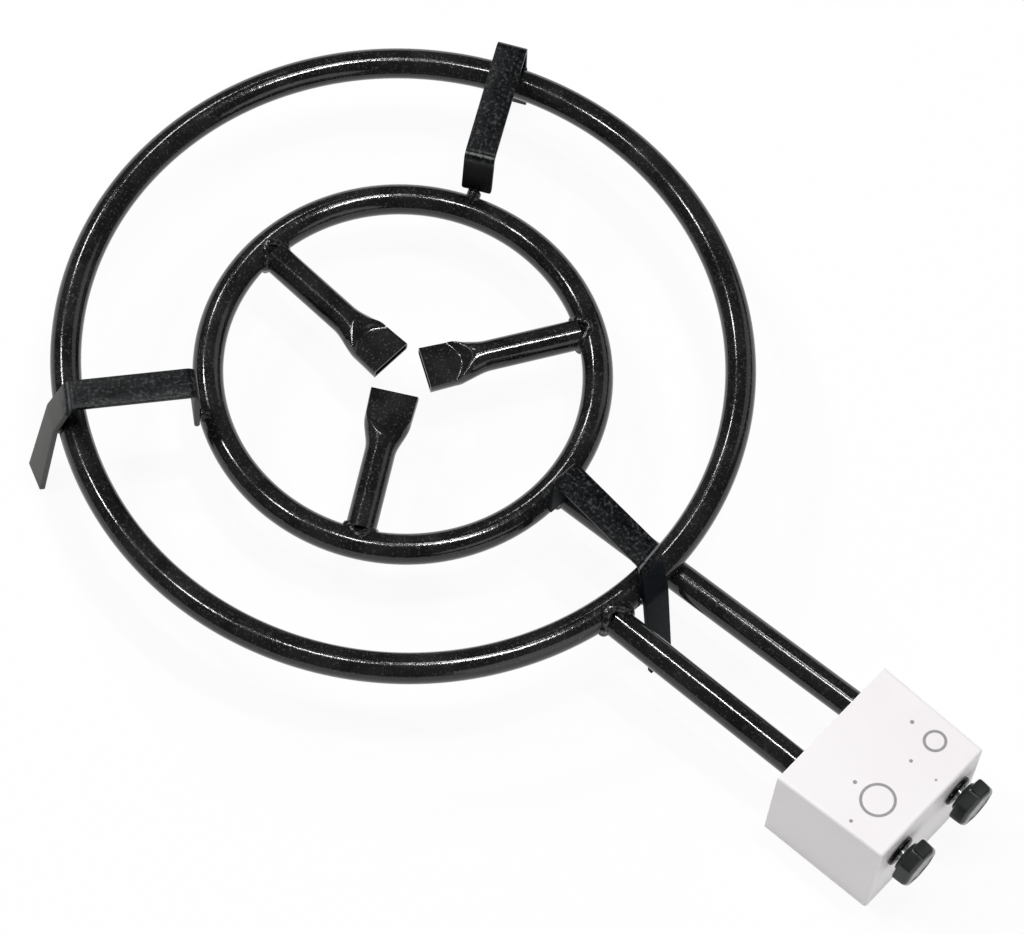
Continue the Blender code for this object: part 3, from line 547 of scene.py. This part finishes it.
RING_OUTSIDE, GAP = 0.150, 0.0003           # the lower ring's radius, and what the tabs keep off it
TAB_END = 0.0100                            # their lower edges, over the lower ring's middle
FILLET_R = 0.0114                           # the side beads', round the upper ring's tube
inner_z = rings["inner_ring"][0].z
outer_hub, outer_r = rings["outer_ring"]
# Each bracket: its angle, offset, bends, gloss, the leg's painted reflection colour and the painted highlight
# lines across its bends.
for name, angle, offset, fold, shoulder, foot, gloss, leg_reflection, glint_lines in (
        ("bracket_front", radians(356.0), 0.0079, (0.2370, 0.124, -0.0010, -0.16),
         (0.2522, 0.092, -0.0060, -0.01), (0.2670, 0.0, -0.0060, -0.08),
         0.05, (0.0045, 0.0065, 0.0095), ((0.8, 0.2372, -0.16, 0.0010),)),
        ("bracket_left", radians(118.0), -0.0143, (0.2462, 0.124, 0.0, 0.0),
         (0.2519, 0.090, 0.0, 0.06), (0.2730, 0.0, 0.0, 0.02),
         0.12, (0.0060, 0.0065, 0.0070), ((0.9, 0.1523, 0.0, 0.0010), (0.3, 0.2462, 0.0, 0.0009))),
        ("bracket_right", radians(230.5), 0.0203, (0.2393, 0.124, 0.0, 0.0),
         (0.2512, 0.092, 0.0, -0.085), (0.2650, 0.0, 0.0, -0.255),
         0.16, (0.1150, 0.1180, 0.1110), ((0.35, 0.2393, 0.0, 0.0012),))):
    tab = sqrt(RING_OUTSIDE ** 2 - offset ** 2) + GAP + BAR_T / 2
    tab_z = inner_z + TAB_END
    path = bent([(tab, tab_z), (tab, REST_Z - BAR_T / 2), fold, shoulder, foot], (0.005, 0.006, 0.010))
    path.insert(1, path[0].lerp(path[1], 0.06))
    sections = []
    for i, point in enumerate(path):
        run = (path[min(i + 1, len(path) - 1)] - path[max(i - 1, 0)]).xy.normalized()
        shrink = 0.0006 if i == 0 else 0.0
        loop = []
        for y, t in bar_section(BAR_W / 2 - shrink, BAR_T / 2 - shrink):
            p = point.xy + Vector((-run.y, run.x)) * t
            loop.append(Vector((p.x + point.w * y, point.z + y, 0.0 if i == len(path) - 1 else p.y)))
        sections.append(loop)
    paint = bar_paint(name + "_paint", gloss, leg_reflection, glint_lines)
    bar = body_mesh(name + "_painted", [skin(sections)], paint, sharp=28)
    to_left = Vector((-sin(angle), cos(angle), 0))
    place = Matrix.Translation(HUB + to_left * offset) @ Matrix.Rotation(angle, 4, "Z")
    bar.matrix_world = place
    stands_for(bar, name, slot="bar_steel")
    # the tab's weld: a lump between its lower edge and the lower ring
    lump = [place @ Vector((tab - 0.0002 - 0.0098 * t, 0.0010 * sin(3 * t), tab_z + 0.0010 - 0.0060 * t))
            for t in (k / 16 for k in range(17))]
    bead(name + "_tab_weld", lump, 0.0050, 0, closed=False, seed=angle * 3, uneven=0.15)
    # its shoulder's: one bead under the bar, in the notch over the upper ring, and one down each side
    across_bar = [shoulder[2] + 0.0095 * (k / 10 - 1) for k in range(21)]
    notch = [place @ Vector((sqrt((outer_r + 0.0100) ** 2 - (offset + y) ** 2), y, outer_hub.z + 0.0064))
             for y in across_bar]
    bead(name + "_shoulder_weld", notch, 0.0019, 5, closed=False, seed=angle + 2)
    for side, letter in ((-1, "a"), (1, "b")):
        y = shoulder[2] + side * (BAR_W / 2 - 0.0002)
        ring_s = sqrt(outer_r ** 2 - (offset + y) ** 2)
        fillet = [place @ Vector((ring_s + FILLET_R * cos(a), y, outer_hub.z + FILLET_R * sin(a)))
                  for a in (radians(8 + 30 * k / 12) for k in range(13))]
        bead(name + "_weld_" + letter, fillet, 0.0017, 3, closed=False, seed=angle + side)

# ---- The control box -----------------------------------------------------------------------
# Thin steel sheet cut, folded down on three sides and powder-coated white; open below, with a
# separate back plate. Two plain printed circles on top say which knob feeds which ring.
box_paint = Finish("white_powder_coat", IOR=1.5)
peel = box_paint.cloud(420.0, 2.0)
spread = box_paint.cloud(14.0, 2.0)
plan_x, plan_y, height = box_paint.axes()
plan_x, plan_y = plan_x - HUB.x, plan_y - HUB.y
PRINT_LINE = 0.0021


def away_from(x, y):
    return ((plan_x - x) ** 2.0 + (plan_y - y) ** 2.0) ** 0.5


def printed_ring(x, y, radius):
    return 1.0 - abs(away_from(x, y) - radius).clear(PRINT_LINE * 0.35, PRINT_LINE * 0.65)


def printed_dot(x, y, radius):
    return 1.0 - away_from(x, y).clear(radius * 0.8, radius * 1.1)


ink = printed_ring(0.4642, -0.0269, 0.0118).at_least(printed_ring(0.4645, 0.0331, 0.0074))
for x, y, size in ((0.4439, -0.0271, 0.0016), (0.4607, -0.0511, 0.0014), (0.4436, 0.0337, 0.0016),
                   (0.4620, 0.0106, 0.0014), (0.4838, 0.0110, 0.0010)):
    ink = ink.at_least(printed_dot(x, y, size))
ink = ink * height.clear(0.088, 0.0885)             # on the top alone
white = box_paint.mix(spread.clear(0.3, 0.8), (0.88, 0.852, 0.862), (0.845, 0.81, 0.822))
ink_cover = ink * (0.66 + 0.2 * box_paint.cloud(600.0))
box_paint.vary(Base_Color=box_paint.mix(ink_cover, white, (0.10, 0.095, 0.10)),
               Roughness=0.26 + peel * 0.14 + ink * 0.2,
               Normal=box_paint.relief(peel, 0.00012, 0.5))

SHEET = 0.0012
BOX_BACK, BOX_FRONT = 0.403, 0.4935
BOX_Y, BOX_BOTTOM = -0.0035, 0.002                  # its middle line and its lower edge
FOLD_R, FOLD_R_INSIDE = 0.0024, 0.0013
TAP_HOLE_R, INLET_HOLE_R = 0.0064, 0.0068
MANIFOLD_X, MANIFOLD_Z = 0.458, 0.040
FLAT = 4.0                                          # degrees: the sheet is shaded flat up to its folds


def between_ends(back_value, front_value, x):
    """A measure of the box at x, from what it is at the back and at the front."""
    return back_value + (front_value - back_value) * (x - BOX_BACK) / (BOX_FRONT - BOX_BACK)


def half_width(x):
    return between_ends(0.057, 0.054, x)


def top_height(x):
    return between_ends(0.0914, 0.0994, x)


def folded(x0, x1, inset, bottom, fold, segments):
    """The box's form between two sections, its folds rounded, as vertices and faces."""
    bm = bmesh.new()
    corner = {}
    for ix, x in enumerate((x0, x1)):
        for iy, s in enumerate((-1, 1)):
            y = BOX_Y + s * (half_width(x) - inset)
            corner[ix, iy, 0] = bm.verts.new(at(x, y, bottom))
            corner[ix, iy, 1] = bm.verts.new(at(x, y, top_height(x) - inset))
    for quad in (((0, 0, 0), (0, 0, 1), (0, 1, 1), (0, 1, 0)), ((1, 0, 0), (1, 0, 1), (1, 1, 1), (1, 1, 0)),
                 ((0, 0, 0), (1, 0, 0), (1, 0, 1), (0, 0, 1)), ((0, 1, 0), (1, 1, 0), (1, 1, 1), (0, 1, 1)),
                 ((0, 0, 0), (1, 0, 0), (1, 1, 0), (0, 1, 0)), ((0, 0, 1), (1, 0, 1), (1, 1, 1), (0, 1, 1))):
        bm.faces.new([corner[key] for key in quad])
    bmesh.ops.recalc_face_normals(bm, faces=bm.faces)
    keys = {vert: key for key, vert in corner.items()}
    folds = []
    for edge in bm.edges:
        a, b = (keys[v] for v in edge.verts)
        top_side = a[2] == b[2] == 1 and not (a[0] == b[0] == 0)
        upright = a[0] == b[0] == 1 and a[2] != b[2]
        if top_side or upright:
            folds.append(edge)
    bmesh.ops.bevel(bm, geom=folds, offset=fold, segments=segments, profile=0.5, affect="EDGES")
    bm.normal_update()
    verts = [v.co.copy() for v in bm.verts]
    bm.verts.index_update()
    faces = [tuple(v.index for v in f.verts) for f in bm.faces]
    bm.free()
    return verts, faces


cover = body_mesh("box_cover_painted", [folded(BOX_BACK, BOX_FRONT, 0.0, BOX_BOTTOM, FOLD_R, 8)], box_paint)
cut(cover, [folded(BOX_BACK - 0.01, BOX_FRONT - SHEET, SHEET, BOX_BOTTOM - 0.01, FOLD_R_INSIDE, 4)])
holes = [drum(at(BOX_FRONT - 0.006, y, tap_z), at(BOX_FRONT + 0.006, y, tap_z), TAP_HOLE_R, 40)
         for y in TAP_Y.values()]
inlet = at(MANIFOLD_X, BOX_Y + half_width(MANIFOLD_X), MANIFOLD_Z)
through = Vector((0, 0.008, 0))
holes.append(drum(inlet - through, inlet + through, INLET_HOLE_R, 40))
cut(cover, holes, sharp=FLAT)
stands_for(cover, "box_cover", slot="white_paint")

# ---- The knobs and their collars -----------------------------------------------------------
# Moulded black phenolic: an eight-sided grip on a short round neck, its nose chamfered, with a
# pointer notch. Pressed on the tap's D-shaped stem. A blackened nut holds the box to each tap.
knob_plastic = Finish("black_phenolic", IOR=1.5)
flow = knob_plastic.cloud(60.0, 3.0)
knob_plastic.vary(
    Base_Color=knob_plastic.mix(flow.clear(0.3, 0.8), (0.012, 0.0145, 0.014), (0.024, 0.028, 0.027)),
    Roughness=0.17 + flow * 0.12,
    Normal=knob_plastic.relief(knob_plastic.cloud(800.0, 2.0), 0.0001, 0.4))
blackening = Finish("blackened_steel", Metallic=1.0)
haze = blackening.cloud(220.0, 3.0)
bare = blackening.cloud(520.0, 2.0).clear(0.64, 0.70)
oxide = blackening.mix(haze.clear(0.3, 0.8), (0.020, 0.020, 0.021), (0.055, 0.054, 0.052))
blackening.vary(Base_Color=blackening.mix(bare, oxide, (0.62, 0.61, 0.58)), Roughness=0.30 + haze * 0.2)


def eight_sided(a):
    """The radius of an octagon beside its corners', the corners a little eased."""
    return min(cos(pi / 8) / cos(a % (pi / 4) - pi / 8), 0.988)


def turned(profile, centre, sides=64, joined=False):
    """A solid round the tap's axis, from (distance along X, radius, eight-sided or not)."""
    corners = turns(sides)
    sections = []
    for x, radius, flats in profile:
        radii = [radius * (eight_sided(a) if flats else 1.0) for a in corners]
        sections.append([centre + Vector((x, r * cos(a), r * sin(a))) for a, r in zip(corners, radii)])
    return skin(sections, joined=joined)


GRIP, NECK, BORE = 0.0182, 0.0117, 0.0043           # the knob's radii
NOTCH_FLOOR, NOTCH_HALF = 0.0163, 0.0007            # how far from the axis, and half its width
COLLAR, COLLAR_BORE = 0.0119, 0.0064                # radii
for which, y in TAP_Y.items():
    low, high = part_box(which + "_knob")
    back, depth = Vector((low.x, HUB.y + y, tap_z)), high.x - low.x
    neck = [(0, NECK - 0.0009, 0), (0.0004, NECK - 0.0005, 0), (0.0020, NECK, 0), (0.00235, NECK + 0.0005, 0)]
    grip = [(0.0026, GRIP - 0.0014, 1), (0.0030, GRIP - 0.0005, 1), (0.0037, GRIP, 1),
            (0.0075, GRIP - 0.0001, 1), (depth - 0.0026, GRIP - 0.0005, 1)]
    nose = [(depth - 0.0022, GRIP - 0.0007, 1), (depth - 0.0008, GRIP - 0.0020, 1),
            (depth - 0.0002, GRIP - 0.0034, 1), (depth, GRIP - 0.0042, 1), (depth, GRIP - 0.0050, 1),
            (depth - 0.0005, GRIP - 0.0068, 0), (depth - 0.0006, 0.004, 0)]
    knob = body_mesh(which + "_knob_moulded", [turned(neck + grip + nose, back, 96)], knob_plastic, sharp=40)
    stem_bore = turned([(-0.002, BORE, 0), (0.0105, BORE, 0)], back, 40)
    notch = skin([[back + Vector((x, side * NOTCH_HALF, z)) for side, z in (
        (-1, NOTCH_FLOOR), (1, NOTCH_FLOOR), (1, 0.02), (-1, 0.02))] for x in (0.0050, 0.0160)])
    cut(knob, [stem_bore, notch], sharp=20.0)
    stands_for(knob, which + "_knob", body=which + "_control", slot="black_plastic")

    low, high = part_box(which + "_panel_nut")
    face, thick = Vector((low.x, HUB.y + y, tap_z)), high.x - low.x
    ring_profile = [(0, COLLAR_BORE, 0), (0, COLLAR - 0.0003, 0), (0.0003, COLLAR, 0),
                    (thick - 0.0009, COLLAR, 0), (thick - 0.0003, COLLAR - 0.0005, 0),
                    (thick, COLLAR - 0.0012, 0), (thick, COLLAR_BORE + 0.0008, 0),
                    (thick - 0.0005, COLLAR_BORE + 0.0001, 0)]
    collar = body_mesh(which + "_panel_collar", [turned(ring_profile, face, joined=True)], blackening)
    stands_for(collar, which + "_panel_nut", slot="zinc")

# ---- What is inside and behind the box -----------------------------------------------------
# Brass taps, injectors and nozzle, plated manifold, carrier, stems and springs: the packed
# shapes stay, with the finish of each metal.
brass = Finish("turned_brass", Metallic=1.0)
lathe = brass.cloud(300.0, 2.0, stretch=(6.0, 1.0, 1.0))
brass.vary(Base_Color=brass.mix(lathe.clear(0.3, 0.75), (0.72, 0.53, 0.24), (0.58, 0.42, 0.19)),
           Roughness=0.24 + lathe * 0.2)
zinc = Finish("zinc_plating", Metallic=1.0)
spangle = zinc.cloud(160.0, 3.0)
zinc.vary(Base_Color=zinc.mix(spangle.clear(0.3, 0.75), (0.62, 0.63, 0.62), (0.48, 0.49, 0.49)),
          Roughness=0.3 + spangle * 0.2)
for node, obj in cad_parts.items():
    if obj.hide_render:
        continue
    if node == "box_back_plate":
        finish = box_paint
    elif any(word in node for word in ("tap_body", "injector", "plug", "nozzle")):
        finish = brass
    elif "bonnet" in node:
        finish = blackening
    else:
        finish = zinc
    obj.data.materials.clear()
    obj.data.materials.append(finish.material)

bpy.context.view_layer.update()
